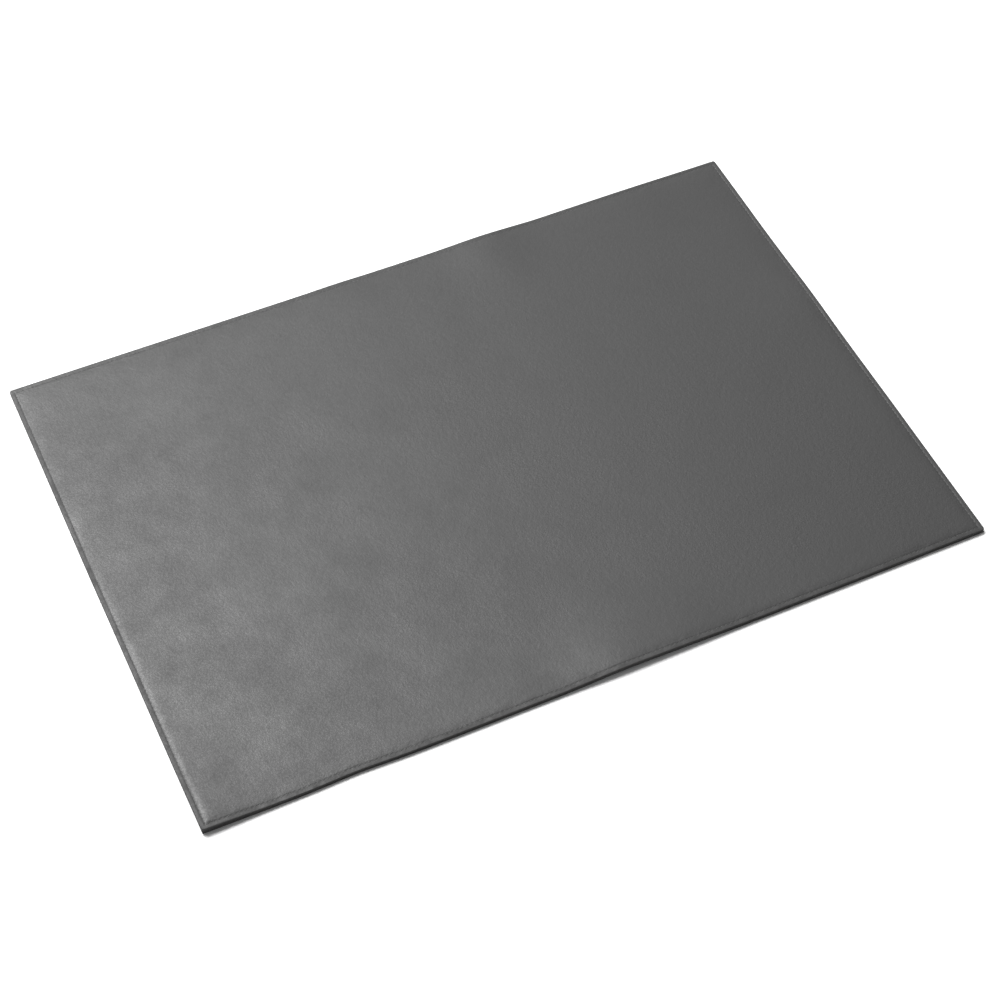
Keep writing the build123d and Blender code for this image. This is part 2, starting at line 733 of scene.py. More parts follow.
    def _turn_flanges(self, piece: bpy.types.Object) -> None:
        """Turns the four flanges in under the mat, mitred where they meet.

        Args:
            piece: The cover being edited.
        """
        start = self.plan.half(self.fold_radius_below)
        stops = [self.plan.half(self.plan.seam_inset), self.plan.half(self.flange_width)]
        rim_level = self.plan.flange_bottom
        for side in Side:
            axis = 1 if side.runs_along_x else 0
            reach = side.value[axis] * start[axis]

            def on_side(edge: bmesh.types.BMEdge) -> bool:
                """Tells whether an edge is on the rim of this side.

                Args:
                    edge: The edge.

                Returns:
                    True if it is.
                """
                return edge.is_boundary and all(
                    abs(v.co[axis] - reach) < NEAR and abs(v.co.z - rim_level) < NEAR
                    for v in edge.verts
                )

            select_edges(piece, on_side)
            now = start
            for stop in stops:
                short = [half - self.mitre_gap / 2 for half in stop]
                goal = (stop[0], short[1]) if axis == 0 else (short[0], stop[1])
                draw_rim(now, goal, 0.0)
                now = goal

    def _paint_edge_shade(self, piece: bpy.types.Object) -> None:
        """Marks how much painted shade each point of the turned edge and hem gets, for the
        finish.

        Args:
            piece: The cover, still even.
        """
        edge_shade_layer = piece.data.attributes.new("painted_edge_shade", "FLOAT", "POINT")
        # Painted shade: full on the side face below the arris, and a share set by side on the
        # hem.
        for vertex in piece.data.vertices:
            x, y, z = vertex.co
            below = (self.plan.hem_top - self.shade_below_arris - z) / self.shade_fade
            inset = self.plan.inset(x, y)
            painted_hem_shade = self.plan.by_side(self.hem_painted_shade, x, y)
            painted_hem_shade *= 1 + self.painted_shade_patches.at(x, y)
            painted_hem_shade *= smooth_step((self.plan.seam_inset - inset) / self.hem_shade_fade + 0.5)
            near = z > 0 and inset < self.shade_reach
            edge_shade_layer.data[vertex.index].value = max(painted_hem_shade, smooth_step(below)) if near else painted_hem_shade

    def _rub_ridge(self, piece: bpy.types.Object) -> None:
        """Marks where sleeves have rubbed the ridge to a higher sheen, for the finish.

        Args:
            piece: The cover, still even.
        """
        rubbed = piece.data.attributes.new("rubbed_ridge", "FLOAT", "POINT")
        for vertex in piece.data.vertices:
            x, y, z = vertex.co
            if z > self.plan.hem_top:
                left = bell(x + self.plan.half_width, self.rubbed_from_left)
                fade = self.rubbed_fade * y / self.plan.half_depth
                front = smooth_step(self.rubbed_middle - fade)
                ridge = bell(self.plan.inset(x, y) - self.rubbed_inset, self.rubbed_width)
                share = self.rubbed_elsewhere + (1 - self.rubbed_elsewhere) * left * front
                rubbed.data[vertex.index].value = ridge * share

    def _dress_point(self, p: Vector) -> Vector:
        """Puts the hand of the work into one point: stitch holes, puckers and soft edges.

        Args:
            p: The point on the even cover.

        Returns:
            Where it really lies.
        """
        plan = self.plan
        inset = plan.inset(p.x, p.y)
        moved = p.copy()
        if p.z > plan.hem_top + NEAR:
            moved.z += self.lie.swell(p.x, p.y) - self._padding_fall(p.x, p.y, inset)
            moved.z += self._crest(p.x, p.y, inset)
        if p.z > plan.tape_top:
            moved.z -= self._stitch_pull(p, inset)
            moved.z += self._pucker(p, inset)
        return self._round_corner(moved, inset)

    def _stitch_pull(self, p: Vector, inset: float) -> float:
        """How far a stitch draws the leather down, deepest at the needle holes.

        Args:
            p: The point.
            inset: Its inset.

        Returns:
            How far it is drawn down.
        """
        half_x, half_y = self.plan.half(inset)
        on_long_side = self.plan.half_depth - abs(p.y) <= self.plan.half_width - abs(p.x)
        share = p.x / half_x if on_long_side else p.y / half_y
        count = self.plan.stitches[0] if on_long_side else self.plan.stitches[1]
        phase = (share + 1) / 2 * count
        hole = 0.5 + 0.5 * math.cos(2 * math.pi * phase)
        across = bell(inset - self.plan.seam_inset, self.pull_reach)
        return self.pull_depth * hole * across

    def _pucker(self, p: Vector, inset: float) -> float:
        """Small gathers that the seam leaves in the leather, and where its groove is filled.

        Args:
            p: The point.
            inset: Its inset.

        Returns:
            How far the point is raised.
        """
        inner = self.inner_gathers_mm.at(p.x, p.y) + self.inner_wave_mm.at(p.x, p.y)
        inner *= bell(inset - self.inner_inset, self.inner_width)
        hem = self.hem_gathers_mm.at(p.x, p.y) + self.hem_crinkle_mm.at(p.x, p.y)
        hem *= bell(inset - self.hem_inset, self.hem_width)
        filled = smooth_step(0.5 + self.seam_filling.at(p.x, p.y))
        at_seam = self.seam_filled * bell(inset - self.plan.seam_inset, self.seam_fill_width)
        filled *= at_seam * self.seam_depth / MM
        return MM * (filled + inner + hem)

    def _round_corner(self, p: Vector, inset: float) -> Vector:
        """Rounds the plan of the turned edge at the four corners.

        Args:
            p: The point.
            inset: Its inset on the even cover.

        Returns:
            The point, moved on to the rounded corner if it is at one.
        """
        radius = self.corner_radius - inset
        half_x, half_y = self.plan.half(inset)
        from_x, from_y = half_x - abs(p.x), half_y - abs(p.y)
        if radius <= 0 or max(from_x, from_y) >= radius:
            return p
        turn = math.radians(45) * (1 - max(from_x, from_y) / radius)
        if from_y < from_x:
            turn = math.radians(90) - turn
        return Vector(
            (
                math.copysign(half_x - radius + radius * math.cos(turn), p.x),
                math.copysign(half_y - radius + radius * math.sin(turn), p.y),
                p.z,
            )
        )

    def _soften_corners(self, piece: bpy.types.Object) -> None:
        """Rounds off the mitre of the padding at the four corners of the seam.

        Args:
            piece: The cover.
        """
        low = self.plan.seam_inset + self.corner_smooth_start
        with editing(piece):
            bpy.ops.mesh.select_mode(type="VERT")
            bm = bmesh.from_edit_mesh(piece.data)
            for vertex in bm.verts:
                from_x = self.plan.half_width - abs(vertex.co.x)
                from_y = self.plan.half_depth - abs(vertex.co.y)
                at_corner = max(from_x, from_y) < self.corner_reach + low
                in_band = low < min(from_x, from_y) < self.corner_smooth_inset
                vertex.select_set(at_corner and in_band and vertex.co.z > self.plan.tape_top)
            bm.select_flush_mode()
            bmesh.update_edit_mesh(piece.data)
            bpy.ops.mesh.vertices_smooth(factor=0.5, repeat=2)

    def _give_thickness(self, piece: bpy.types.Object) -> None:
        """Gives the leather its thickness inwards, skived thinner along the flanges.

        Args:
            piece: The cover.
        """
        gauge = piece.vertex_groups.new(name="gauge")
        for vertex in piece.data.vertices:
            x, y, z = vertex.co
            level = (z - self.lie.height(x, y)) / self.lie.bulk(x, y)
            thickness = self._gauge(self.plan.inset(x, y), level)
            share = (thickness - self.seam_thickness) / (self.thickness - self.seam_thickness)
            gauge.add([vertex.index], share, "REPLACE")
        apply_modifier(
            piece,
            "SOLIDIFY",
            thickness=self.thickness,
            offset=-1.0,
            use_even_offset=True,
            use_quality_normals=True,
            vertex_group=gauge.name,
            thickness_vertex_group=self.seam_thickness / self.thickness,
        )

    def _gauge(self, inset: float, level: float) -> float:
        """Thickness of the leather at one place.

        Args:
            inset: Inset of the place.
            level: Height of the place above the mat's underside.

        Returns:
            The thickness there.
        """
        if level < self.plan.board_bottom:
            return self.flange_thickness
        if inset > self.plan.foam_inset or level < self.plan.tape_top:
            return self.thickness
        squeezed = bell(inset - self.plan.seam_inset, self.squeezed_width)
        return self.hem_thickness - squeezed * (self.hem_thickness - self.seam_thickness)


@dataclass
class ThreadRun:
    """One thread of the lockstitched seam, stitch by stitch."""

    plan: MatPlan
    lie: RelaxedLie
    name: str
    top_level: float
    faces_up: bool
    radius: float = 0.27 * MM
    sides: int = 8
    spans: int = 7
    slant: float = 5.0
    pitch_share: float = 0.96
    sink: float = 0.55 * MM
    sink_power: float = 3.5
    ply_depth: float = 0.13
    narrowing: float = 0.25

    def build(self) -> bpy.types.Object:
        """Makes the run of stitches.

        Returns:
            The finished piece.
        """
        turns = {Side.FRONT: 0, Side.RIGHT: 90, Side.BACK: 180, Side.LEFT: 270}
        runs = [self._run(side, turn) for side, turn in turns.items()]
        select_only(runs[0])
        for run in runs:
            run.select_set(True)
        bpy.ops.object.join()
        piece = name_piece(self.name)
        self.lie.settle(piece)
        shade(piece, 60)
        return piece

    def _run(self, side: Side, turn: float) -> bpy.types.Object:
        """Makes the stitches of one side.

        Args:
            side: The side.
            turn: Direction that its seam is sewn in, in degrees from +X.

        Returns:
            The side's stitches, in place.
        """
        half_x, half_y = self.plan.half(self.plan.seam_inset)
        middle = Vector((side.value[0] * half_x, side.value[1] * half_y, 0))
        length = 2 * (half_x if side.runs_along_x else half_y)
        count = self.plan.stitches[0 if side.runs_along_x else 1]
        pitch = length / count
        run = self._stitch(f"{self.name}_{side.name.lower()}", pitch)
        apply_modifier(
            run,
            "ARRAY",
            count=count,
            use_relative_offset=False,
            use_constant_offset=True,
            constant_offset_displace=(pitch, 0, 0),
        )
        place = (
            Matrix.Translation(middle)
            @ Matrix.Rotation(math.radians(turn), 4, "Z")
            @ Matrix.Translation((pitch / 2 - length / 2, 0, 0))
        )
        run.data.transform(place)
        return run

    def _stitch(self, name: str, pitch: float) -> bpy.types.Object:
        """Makes one stitch of two-ply thread, both ends bent down into their holes.

        Args:
            name: The piece's name.
            pitch: Distance from hole to hole.

        Returns:
            The stitch, centred on the origin and lying along X.
        """
        bpy.ops.object.select_all(action="DESELECT")
        bpy.ops.mesh.primitive_cylinder_add(
            vertices=self.sides,
            radius=self.radius,
            depth=pitch * self.pitch_share,
            end_fill_type="NGON",
        )
        stitch = name_piece(name)
        with editing(stitch):
            select_edges(stitch, lambda e: abs(e.verts[0].co.z - e.verts[1].co.z) > pitch / 2)
            bpy.ops.mesh.subdivide(number_cuts=self.spans - 1)
        stitch.data.transform(Matrix.Rotation(math.radians(90), 4, "Y"))
        move_points(stitch, lambda p: self._bend_point(p, pitch))
        stitch.data.transform(Matrix.Rotation(math.radians(self.slant), 4, "Z"))
        if not self.faces_up:
            stitch.data.transform(Matrix.Rotation(math.radians(180), 4, "X"))
        level = self.top_level - self.radius if self.faces_up else self.top_level + self.radius
        stitch.data.transform(Matrix.Translation((0, 0, level)))
        return stitch

    def _bend_point(self, p: Vector, pitch: float) -> Vector:
        """Twists the thread's two plies together and bows the stitch down at both ends.

        Args:
            p: The point on the straight stitch.
            pitch: Distance from hole to hole.

        Returns:
            The point on the bent stitch.
        """
        share = 2 * p.x / pitch
        around = math.atan2(p.z, p.y)
        ply = 1 + self.ply_depth * math.cos(2 * around - share * math.pi * 2.0)
        narrow = 1 - self.narrowing * abs(share) ** 3
        drop = self.sink * abs(share) ** self.sink_power
        return Vector((p.x, p.y * ply * narrow, p.z * ply * narrow - drop))


@dataclass
class BackingSheet:
    """The suede-effect backing that hides the flanges and rests on the desk."""

    plan: MatPlan
    lie: RelaxedLie
    edge_radius: float = 0.25 * MM
    groove_depth: float = 0.5 * MM
    half_groove: float = 0.55 * MM
    groove_shoulder: float = 0.8
    row_beside_groove: float = 2.4 * MM
    inner_inset: float = 16.0 * MM
    cut_width: float = 0.6 * MM
    cut_waver: Unevenness = Unevenness(0.12 * MM, 14 * MM, 2.2)
    points_per_stitch: int = 2

    def build(self) -> bpy.types.Object:
        """Makes the backing, from its middle underneath out to its edge and back on top.

        Returns:
            The finished piece.
        """
        top = self.plan.flange_bottom
        half = self.plan.half(self.inner_inset)
        piece = lay_grid("backing_layer", half, 0.0, self.plan.cells)
        with editing(piece):
            divide_rim(self.plan.stitches_per_cell * self.points_per_stitch)
            now = (self.inner_inset, 0.0)
            for point in self._section():
                draw_rim(self.plan.half(now[0]), self.plan.half(point[0]), point[1] - now[1])
                now = point
            thicken(top, (1, 1, 0), top)
        move_points(piece, self._dress_point)
        self.lie.settle(piece)
        shade(piece, 40)
        return piece

    def _section(self) -> list[tuple[float, float]]:
        """Cross-section underneath, from the middle over the seam's groove to the edge.

        Returns:
            Its points, as inset and level.
        """
        seam, edge = self.plan.seam_inset, self.plan.backing_inset
        round_off, groove, depth = self.edge_radius, self.half_groove, self.groove_depth
        shoulder = self.groove_shoulder * depth
        points = [(seam + self.row_beside_groove, 0.0), (seam + groove, 0.0)]
        points += [(seam + groove / 2, shoulder), (seam, depth)]
        points += [(seam - groove / 2, shoulder), (seam - groove, 0.0)]
        points += [(edge + round_off, 0.0)]
        points += arc((edge + round_off, round_off), (round_off, round_off), 270, 180, 3)
        return points

    def _dress_point(self, p: Vector) -> Vector:
        """Leaves the cut edge very slightly uneven.

        Args:
            p: The point on the even backing.

        Returns:
            Where it really lies.
        """
        inset = self.plan.inset(p.x, p.y)
        near_edge = bell(inset - self.plan.backing_inset, self.cut_width)
        shift = near_edge * self.cut_waver.at(p.x, p.y)
        moved = p.copy()
        if self.plan.half_depth - abs(p.y) < self.plan.half_width - abs(p.x):
            moved.y += math.copysign(shift, p.y)
        else:
            moved.x += math.copysign(shift, p.x)
        return moved


@dataclass
class Core:
    """What the leather is wrapped round: board, foam, reinforcing tapes and infill."""

    plan: MatPlan
    lie: RelaxedLie
    cell: float = 8.0 * MM
    board_ease: float = 0.12 * MM
    infill_ease: float = 0.06 * MM
    tape_ease: float = 0.05 * MM
    foam_taper: float = 0.8 * MM

    def build_board(self) -> bpy.types.Object:
        """Makes the fibre board, its cut edges slightly eased."""
        return self._slab("fibre_board", "core_board", ease=self.board_ease)

    def build_infill(self) -> bpy.types.Object:
        """Makes the infill sheet between the flanges."""
        return self._slab("infill_layer", "infill_sheet", ease=self.infill_ease)

    def build_foam(self) -> bpy.types.Object:
        """Makes the foam, its edges tapered so that the field falls softly to the seam.

        Returns:
            The foam.
        """
        low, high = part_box("foam_interlining")
        middle = (low.z + high.z) / 2
        piece = self._slab("foam_layer", "foam_interlining", taper=self.foam_taper)

        def swell(p: Vector) -> Vector:
            """Lifts a point of the foam's upper face with the field above it."""
            rise = self.lie.swell(p.x, p.y) if p.z > middle else 0.0
            return p + Vector((0, 0, rise))

        move_points(piece, swell)
        return piece

    def build_tape(self, side: Side) -> bpy.types.Object:
        """Makes the reinforcing tape of one side."""
        which = side.name.lower()
        return self._slab(f"reinforcing_tape_{which}", f"edge_tape_{which}", ease=self.tape_ease)

    def _slab(
        self, name: str, node: str, ease: float = 0.0, taper: float = 0.0
    ) -> bpy.types.Object:
        """Makes one flat layer that follows the mat's lie.

        Args:
            name: The piece's name.
            node: The CAD node that it fills.
            ease: How far the arris of its upper and lower faces is rounded off.
            taper: How far its edges slope in as they rise.

        Returns:
            The layer, laid as the mat lies.
        """
        low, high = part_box(node)
        half = ((high.x - low.x) / 2, (high.y - low.y) / 2)
        middle = (low + high) / 2
        cells = tuple(max(2, round(2 * side / self.cell)) for side in half)
        piece = lay_grid(name, half, 0.0, cells)
        with editing(piece):
            thicken(high.z - low.z, (*((side - taper) / side for side in half), 1))
        if ease:
            apply_modifier(
                piece,
                "BEVEL",
                width=ease,
                segments=1,
                limit_method="ANGLE",
                angle_limit=math.radians(60),
            )
        piece.data.transform(Matrix.Translation((middle.x, middle.y, low.z)))
        self.lie.settle(piece)
        shade(piece, 40)
        return piece


# ---------------------------------------------------------------- finishes


@dataclass
class NodeBench:
    """Adds and wires the nodes of one shader node tree."""

    tree: bpy.types.NodeTree

    def feed(self, socket: Socket, value: Feed) -> None:
        """Wires another node's output into a socket, or sets it to a plain value.

        Args:
            socket: The input.
            value: What goes into it.
        """
        if isinstance(value, Socket):
            self.tree.links.new(value, socket)
        else:
            socket.default_value = value

    def add(
        self, kind: str, wires: dict[str | int, Feed] | None = None, **settings: object
    ) -> bpy.types.Node:
        """Adds one node.

        Args:
            kind: The node's type, without its ShaderNode prefix.
            wires: What goes into its inputs: another node's output, or a plain value.
            **settings: Its settings.

        Returns:
            The node.
        """
        node = self.tree.nodes.new(f"ShaderNode{kind}")
        for setting, value in settings.items():
            setattr(node, setting, value)
        for name, value in (wires or {}).items():
            self.feed(node.inputs[name], value)
        return node

    def noise(self, vector: Socket, scale: float, detail: float, rough: float = 0.5) -> Socket:
        """Adds fractal noise of a given scale and returns its value."""
        wires = {"Vector": vector, "Scale": scale, "Detail": detail, "Roughness": rough}
        return self.add("TexNoise", wires).outputs["Fac"]

    def math(self, operation: str, first: Feed, second: Feed = 0.0) -> Socket:
        """Adds a sum on two values and returns its result."""
        return self.add("Math", {0: first, 1: second}, operation=operation).outputs[0]

    def weigh(self, first: Socket, share: float, second: Socket, other: float) -> Socket:
        """Adds up two values, each times its own weight.

        Args:
            first: The first value.
            share: Its weight.
            second: The second value.
            other: Its weight.

        Returns:
            The weighted sum.
        """
        parts = [
            self.math("MULTIPLY", value, weight)
            for value, weight in ((first, share), (second, other))
        ]
        return self.math("ADD", *parts)

    def span(self, value: Socket, old: tuple[float, float], new: tuple[float, float]) -> Socket:
        """Maps a value from one range to another, clamped.

        Args:
            value: The value.
            old: The range that it is in.
            new: The range that it is mapped to.

        Returns:
            The mapped value.
        """
        wires = {"Value": value, "From Min": old[0], "From Max": old[1]}
        wires |= {"To Min": new[0], "To Max": new[1]}
        return self.add("MapRange", wires, clamp=True).outputs["Result"]

    def blend(self, share: Socket, first: Feed, second: Feed) -> Socket:
        """Mixes two colours.

        Args:
            share: How much of the second one is in the mix.
            first: The first colour.
            second: The second colour.

        Returns:
            The mixed colour.
        """
        node = self.add("Mix", {"Factor": share}, data_type="RGBA")
        for index, value in ((6, first), (7, second)):
            self.feed(node.inputs[index], value if isinstance(value, Socket) else (*value, 1))
        return node.outputs[2]


class SharedEffect(Enum):
    """Effects that several finishes share, each built once as a node group."""

    MOTTLE = "soft_mottle"
    PEBBLE = "pebble_grain"
    FIBRES = "matted_fibres"

    def tree(self) -> bpy.types.NodeTree:
        """Finds the effect's node group, and builds it the first time.

        Returns:
            The node group.
        """
        made = bpy.data.node_groups.get(self.value)
        if made:
            return made
        tree = bpy.data.node_groups.new(self.value, "ShaderNodeTree")
        for name, way, kind in (
            ("Vector", "INPUT", "NodeSocketVector"),
            ("Size", "INPUT", "NodeSocketFloat"),
            ("Value", "OUTPUT", "NodeSocketFloat"),
        ):
            tree.interface.new_socket(name, in_out=way, socket_type=kind)
        bench = NodeBench(tree)
        given = tree.nodes.new("NodeGroupInput")
        result = tree.nodes.new("NodeGroupOutput")
        per_metre = bench.math("DIVIDE", 1.0, given.outputs["Size"])
        scaled = bench.add(
            "VectorMath", {0: given.outputs["Vector"], "Scale": per_metre}, operation="SCALE"
        ).outputs[0]
        build = {
            SharedEffect.MOTTLE: self._mottle,
            SharedEffect.PEBBLE: self._pebble,
            SharedEffect.FIBRES: self._fibres,
        }[self]
        tree.links.new(build(bench, scaled), result.inputs["Value"])
        return tree

    @staticmethod
    def _mottle(bench: NodeBench, place: Socket) -> Socket:
        """Cloudy light and dark areas of several sizes.

        Args:
            bench: The effect's nodes.
            place: Coordinates in units of its size.

        Returns:
            How light it is, from 0 to 1.
        """
        broad = bench.noise(place, 0.45, 2.0)
        close = bench.noise(place, 1.6, 4.0, 0.6)
        return bench.span(bench.weigh(broad, 0.55, close, 0.45), BODY, (0.0, 1.0))

    @staticmethod
    def _pebble(bench: NodeBench, place: Socket) -> Socket:
        """Pebbled leather grain: rounded cells, fine creases and pores.

        Args:
            bench: The effect's nodes.
            place: Coordinates in units of its size.

        Returns:
            Its height, from 0 to 1.
        """
        bent = bench.add("TexNoise", {"Vector": place, "Scale": 1.3, "Detail": 2.0})
        wires = {0: bent.outputs["Color"], "Scale": 0.7}
        shift = bench.add("VectorMath", wires, operation="SCALE").outputs[0]
        moved = bench.add("VectorMath", {0: place, 1: shift}, operation="ADD").outputs[0]
        cells = bench.add(
            "TexVoronoi", {"Vector": moved, "Scale": 1.0, "Smoothness": 0.45}, feature="SMOOTH_F1"
        ).outputs["Distance"]
        domes = bench.span(cells, (0.05, 0.75), (1.0, 0.0))
        creases = bench.noise(moved, 2.6, 3.0, 0.6)
        pores = bench.span(bench.noise(place, 7.0, 1.0), (0.32, 0.45), (0.0, 1.0))
        body = bench.weigh(domes, 0.5, creases, 0.35)
        return bench.math("ADD", body, bench.math("MULTIPLY", pores, 0.15))

    @staticmethod
    def _fibres(bench: NodeBench, place: Socket) -> Socket:
        """Short matted fibres lying every way.

        Args:
            bench: The effect's nodes.
            place: Coordinates in units of its size.

        Returns:
            Their height, from 0 to 1.
        """
        one_way = bench.add("Mapping", {"Vector": place, "Scale": (1.0, 0.18, 1.0)}).outputs[0]
        turned = bench.add(
            "Mapping", {"Vector": place, "Rotation": (0, 0, 1.1), "Scale": (1.0, 0.2, 1.0)}
        ).outputs[0]
        first = bench.noise(one_way, 3.0, 3.0, 0.65)
        second = bench.noise(turned, 3.4, 3.0, 0.65)
        lumps = bench.noise(place, 0.6, 2.0)
        return bench.weigh(bench.math("MAXIMUM", first, second), 0.75, lumps, 0.25)


@dataclass
class MaterialBench(NodeBench):
    """The nodes of one material, with its shader and the piece's own coordinates."""

    shader: bpy.types.Node
    place: Socket

    def effect(self, effect: SharedEffect, size: float) -> Socket:
        """Adds a shared effect.

        Args:
            effect: The effect.
            size: Size of its lumps.

        Returns:
            Its value, from 0 to 1.
        """
        node = self.tree.nodes.new("ShaderNodeGroup")
        node.node_tree = effect.tree()
        self.feed(node.inputs["Vector"], self.place)
        self.feed(node.inputs["Size"], size)
        return node.outputs[0]

    def bump(self, height: Socket, depth: float, over: Socket | None = None) -> Socket:
        """Adds a bump.

        Args:
            height: Its height, from 0 to 1.
            depth: Its depth in metres.
            over: A normal that it lies on, if there is one.

        Returns:
            The bumped normal.
        """
        wires = {"Height": height, "Distance": depth, "Strength": 1.0}
        if over is not None:
            wires["Normal"] = over
        return self.add("Bump", wires).outputs["Normal"]

    def dress(self, **values: Feed) -> None:
        """Feeds values into the shader's inputs, named with underscores for spaces."""
        for name, value in values.items():
            self.feed(self.shader.inputs[name.replace("_", " ")], value)


@dataclass(frozen=True)
class Finish:
    """What every finish has: a name, a colour and a roughness."""

    name: str
    colour: tuple[float, float, float]
    roughness: float

    def material(self) -> bpy.types.Material:
        """Makes the material.

        Returns:
            The material.
        """
        material = bpy.data.materials.new(self.name)
        material.use_nodes = True
        tree = material.node_tree
        place = NodeBench(tree).add("TexCoord").outputs["Object"]
        self.dress(MaterialBench(tree, tree.nodes["Principled BSDF"], place))
        return material

    def dress(self, bench: MaterialBench) -> None:
        """Wires the finish into its shader; each finish has its own way."""
        raise NotImplementedError

    def shades(self, dark: float, light: float) -> tuple[tuple, tuple]:
        """A darker and a lighter shade of the finish's colour."""
        return tuple(c * dark for c in self.colour), tuple(c * light for c in self.colour)

    def around(self, gloss: float) -> tuple[float, float]:
        """Range of roughness, from duller to glossier, about the finish's own."""
        return self.roughness + gloss, self.roughness - gloss


@dataclass(frozen=True)
class FullGrainLeather(Finish):
    """Smooth black leather: faint pebble, cloudy sheen, and painted shade that darkens its edges
    to dead black.
    """

    pebble_size: float = 1.5 * MM
    pebble_depth: float = 0.08 * MM
    ripple_size: float = 4.0 * MM
    ripple_depth: float = 0.12 * MM
    mottle_size: float = 22.0 * MM
    cloud_share: float = 0.6
    cloud_gloss: float = 0.07
    crease_share: float = 0.35
    crease_gloss: float = 0.05
    # Near-black colour of the painted shade on the turned edge and hem.
    edge_shade_colour: tuple[float, float, float] = (0.004, 0.004, 0.004)
    edge_roughness: float = 0.85
    rubbed_gloss: float = 0.05

    def dress(self, bench: MaterialBench) -> None:
        """Wires the grain, the cloudy tone and the painted shade on the edge.

        Args:
            bench: The material's bench.
        """
        mottle = bench.effect(SharedEffect.MOTTLE, self.mottle_size)
        pebble = bench.effect(SharedEffect.PEBBLE, self.pebble_size)
        ripple = bench.noise(bench.place, 1 / self.ripple_size, 2.0)
        # Mask of the painted shade on the turned edge and hem; it also dulls them.
        edge = bench.add("Attribute", attribute_name="painted_edge_shade").outputs["Fac"]
        dark, light = self.shades(0.8, 1.2)
        tone = bench.blend(bench.math("MULTIPLY", mottle, self.cloud_share), dark, light)
        tone = bench.blend(bench.span(pebble, BODY, (self.crease_share, 0.0)), tone, dark)
        # Painted shade: the edge mask blends the tone to near black.
        tone = bench.blend(edge, tone, self.edge_shade_colour)
        rough = bench.span(mottle, (0.0, 1.0), self.around(self.cloud_gloss))
        creased = bench.span(pebble, BODY, (self.crease_gloss, -self.crease_gloss))
        rough = bench.math("ADD", rough, creased)
        matt = bench.math("MULTIPLY", edge, self.edge_roughness - self.roughness)
        rough = bench.math("ADD", rough, matt)
        rubbed = bench.add("Attribute", attribute_name="rubbed_ridge").outputs["Fac"]
        rough = bench.math("SUBTRACT", rough, bench.math("MULTIPLY", rubbed, self.rubbed_gloss))
        soft = bench.bump(ripple, self.ripple_depth)
        normal = bench.bump(pebble, self.pebble_depth, soft)
        bench.dress(Base_Color=tone, Roughness=rough, Normal=normal)
        bench.shader.inputs["Specular IOR Level"].default_value = 0.5


@dataclass(frozen=True)
class MattedSheet(Finish):
    """Felted or pressed sheet: suede backing, fibre board, infill and foam skin."""

    fibre_size: float = 1.2 * MM
    depth: float = 0.06 * MM
    sheen: float = 0.0
    mottle_size: float = 15 * MM
    mottle_share: float = 0.3
    gloss: float = 0.12

    def dress(self, bench: MaterialBench) -> None:
        """Wires the fibres, the mottled tone and the nap's sheen.

        Args:
            bench: The material's bench.
        """
        fibres = bench.effect(SharedEffect.FIBRES, self.fibre_size)
        mottle = bench.effect(SharedEffect.MOTTLE, self.mottle_size)
        dark, light = self.shades(0.7, 1.25)
        tone = bench.blend(bench.span(fibres, (0.35, 0.7), (0.0, 1.0)), dark, light)
        tone = bench.blend(bench.math("MULTIPLY", mottle, self.mottle_share), tone, dark)
        rough = bench.span(fibres, BODY, (self.roughness, self.roughness - self.gloss))
        normal = bench.bump(fibres, self.depth)
        bench.dress(Base_Color=tone, Roughness=rough, Normal=normal)
        bench.shader.inputs["Sheen Weight"].default_value = self.sheen
        bench.shader.inputs["Sheen Roughness"].default_value = 0.6


@dataclass(frozen=True)
class WovenTape(Finish):
    """Plain-weave cotton tape."""

    yarn: float = 0.42 * MM
    depth: float = 0.08 * MM
    fuzz_size: float = 0.8 * MM
    fuzz_share: float = 0.4
    gloss: float = 0.1

    def dress(self, bench: MaterialBench) -> None:
        """Wires the over and under of the weave.

        Args:
            bench: The material's bench.
        """
        parts = bench.add("SeparateXYZ", {"Vector": bench.place}).outputs
        turns = math.pi / self.yarn
        warp = bench.math("SINE", bench.math("MULTIPLY", parts["X"], turns))
        weft = bench.math("SINE", bench.math("MULTIPLY", parts["Y"], turns))
        weave = bench.math("MULTIPLY", warp, weft)
        fuzz = bench.effect(SharedEffect.FIBRES, self.fuzz_size)
        height = bench.math(
            "ADD",
            bench.span(weave, (-1.0, 1.0), (0.0, 1.0)),
            bench.math("MULTIPLY", fuzz, self.fuzz_share),
        )
        dark, light = self.shades(0.6, 1.15)
        tone = bench.blend(bench.span(height, (0.2, 1.1), (0.0, 1.0)), dark, light)
        rough = bench.span(height, (0.0, 1.2), (self.roughness, self.roughness - self.gloss))
        normal = bench.bump(height, self.depth)
        bench.dress(Base_Color=tone, Roughness=rough, Normal=normal)


@dataclass(frozen=True)
class SewingThread(Finish):
    """Bonded black polyester thread: two plies, a low sheen and a little fuzz."""

    filament_size: float = 0.25 * MM
    depth: float = 0.02 * MM
    mottle_size: float = 6 * MM
    mottle_share: float = 0.25
    gloss: float = 0.06

    def dress(self, bench: MaterialBench) -> None:
        """Wires the filaments and the slight change of tone along the seam.

        Args:
            bench: The material's bench.
        """
        filaments = bench.effect(SharedEffect.FIBRES, self.filament_size)
        mottle = bench.effect(SharedEffect.MOTTLE, self.mottle_size)
        dark, light = self.shades(0.7, 1.3)
        tone = bench.blend(bench.span(filaments, (0.35, 0.65), (0.0, 1.0)), dark, light)
        tone = bench.blend(bench.math("MULTIPLY", mottle, self.mottle_share), tone, dark)
        rough = bench.span(filaments, BODY, self.around(self.gloss))
        normal = bench.bump(filaments, self.depth)
        bench.dress(Base_Color=tone, Roughness=rough, Normal=normal)
        bench.shader.inputs["Sheen Weight"].default_value = 0.15


